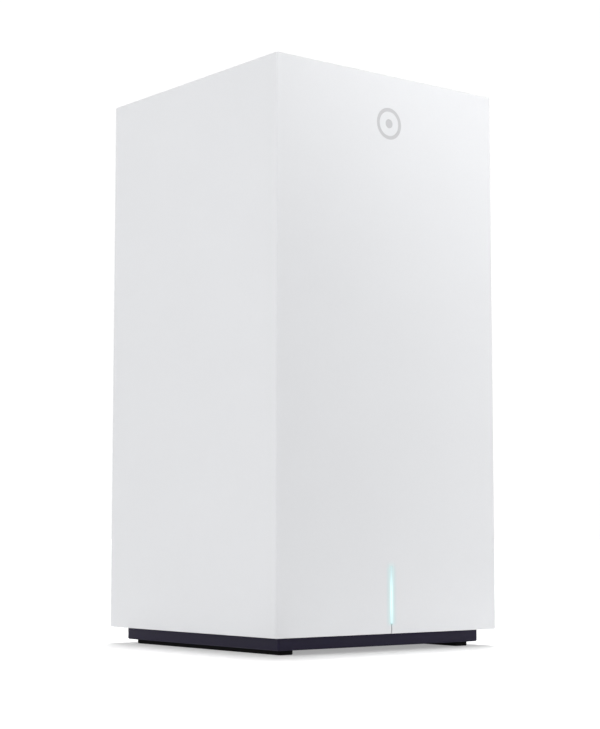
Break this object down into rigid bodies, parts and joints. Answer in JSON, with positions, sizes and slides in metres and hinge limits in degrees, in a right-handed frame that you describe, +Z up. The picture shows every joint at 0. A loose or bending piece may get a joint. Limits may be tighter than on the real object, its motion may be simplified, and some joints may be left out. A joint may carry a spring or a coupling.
{
  "type": "wireless router",
  "caption": "Square white tower gateway on a dark inset base with foot rails, a thin cyan light bar, a slotted top and a recessed rear column of ports and push buttons.",
  "frame": {"origin": "on the floor, at the middle of the footprint", "axes": "+Z up, front face and light bar towards -Y, rear ports towards +Y, +X to the right seen from the front"},
  "size_m": [0.107, 0.107, 0.215],
  "materials": {
    "white_housing": "fine satin moulded",
    "charcoal_base": "fine matt moulded",
    "foot_rubber": "matt",
    "grey_mark": "satin inlay",
    "lit_guide": "clear light pipe, lit",
    "white_button": "satin moulded",
    "black_plastic": "matt moulded",
    "grey_plastic": "matt moulded",
    "mesh_plastic": "matt",
    "circuit_board": "satin solder mask",
    "chip_package": "matt",
    "plain_steel": "bright nickel plated",
    "screw_steel": "plated",
    "gold_contact": "gold plated",
    "extruded_aluminium": "satin extruded",
    "capacitor_can": "bright can",
    "ferrite": "matt",
    "thermal_pad": "soft matt",
    "antenna_film": "flexible film",
    "lead_jacket": "satin jacket",
    "led_package": "lit",
    "blank_label": "satin foil",
    "card_plastic": "gloss"
  },
  "bodies": {
    "router_body": {"outer_sleeve": "white_housing", "front_emblem": "grey_mark", "top_cover": "white_housing", "top_dust_mesh": "mesh_plastic", "cover_frame": "grey_plastic", "light_guide": "lit_guide", "light_guide_holder": "black_plastic", "led_board": "circuit_board", "status_leds": "led_package", "led_cable": "lead_jacket", "base_plate": "charcoal_base", "left_foot_rail": "foot_rubber", "right_foot_rail": "foot_rubber", "base_screws": "screw_steel", "rating_label": "blank_label", "lower_deck": "grey_plastic", "upper_deck": "grey_plastic", "left_frame": "grey_plastic", "right_frame": "grey_plastic", "frame_screws": "screw_steel", "io_panel": "white_housing", "io_panel_screws": "screw_steel", "main_board": "circuit_board", "processor_chips": "chip_package", "processor_shield": "plain_steel", "wifi_shield": "plain_steel", "thermal_pads": "thermal_pad", "right_heatsink": "extruded_aluminium", "left_heatsink": "extruded_aluminium", "heatsink_screws": "screw_steel", "board_capacitors": "capacitor_can", "board_inductors": "ferrite", "modem_board": "circuit_board", "modem_shield": "plain_steel", "modem_socket": "black_plastic", "modem_screw": "screw_steel", "board_sockets": "gold_contact", "cellular_antennas": "antenna_film", "wifi_antennas": "circuit_board", "cellular_leads": "lead_jacket", "wifi_leads": "lead_jacket", "wan_jack_shield": "plain_steel", "wan_jack_insert": "black_plastic", "wan_jack_contacts": "gold_contact", "lan_jack_shield": "plain_steel", "lan_jack_insert": "black_plastic", "lan_jack_contacts": "gold_contact", "usb_port_shield": "plain_steel", "usb_port_tongue": "black_plastic", "dc_jack_body": "black_plastic", "dc_jack_pin": "plain_steel", "sim_socket": "plain_steel", "power_switch_body": "black_plastic", "wps_switch_body": "black_plastic", "reset_switch_body": "black_plastic"},
    "power_button": {"power_button": "white_button"},
    "wps_button": {"wps_button": "white_button"},
    "reset_plunger": {"reset_plunger": "black_plastic"},
    "sim_tray": {"sim_tray": "white_button", "sim_card": "card_plastic"}
  },
  "joints": [
    {"name": "power_button_press", "type": "slide", "parent": "router_body", "child": "power_button", "axis": [0, -1, 0], "range_m": [0, 0.002], "stiffness_N_per_m": 400, "springref_m": -0.001},
    {"name": "wps_button_press", "type": "slide", "parent": "router_body", "child": "wps_button", "axis": [0, -1, 0], "range_m": [0, 0.0008], "stiffness_N_per_m": 800, "springref_m": -0.0005},
    {"name": "reset_press", "type": "slide", "parent": "router_body", "child": "reset_plunger", "axis": [0, -1, 0], "range_m": [0, 0.0005], "stiffness_N_per_m": 800, "springref_m": -0.0005},
    {"name": "sim_tray_slide", "type": "slide", "parent": "router_body", "child": "sim_tray", "axis": [0, 1, 0], "range_m": [0, 0.015]}
  ]
}
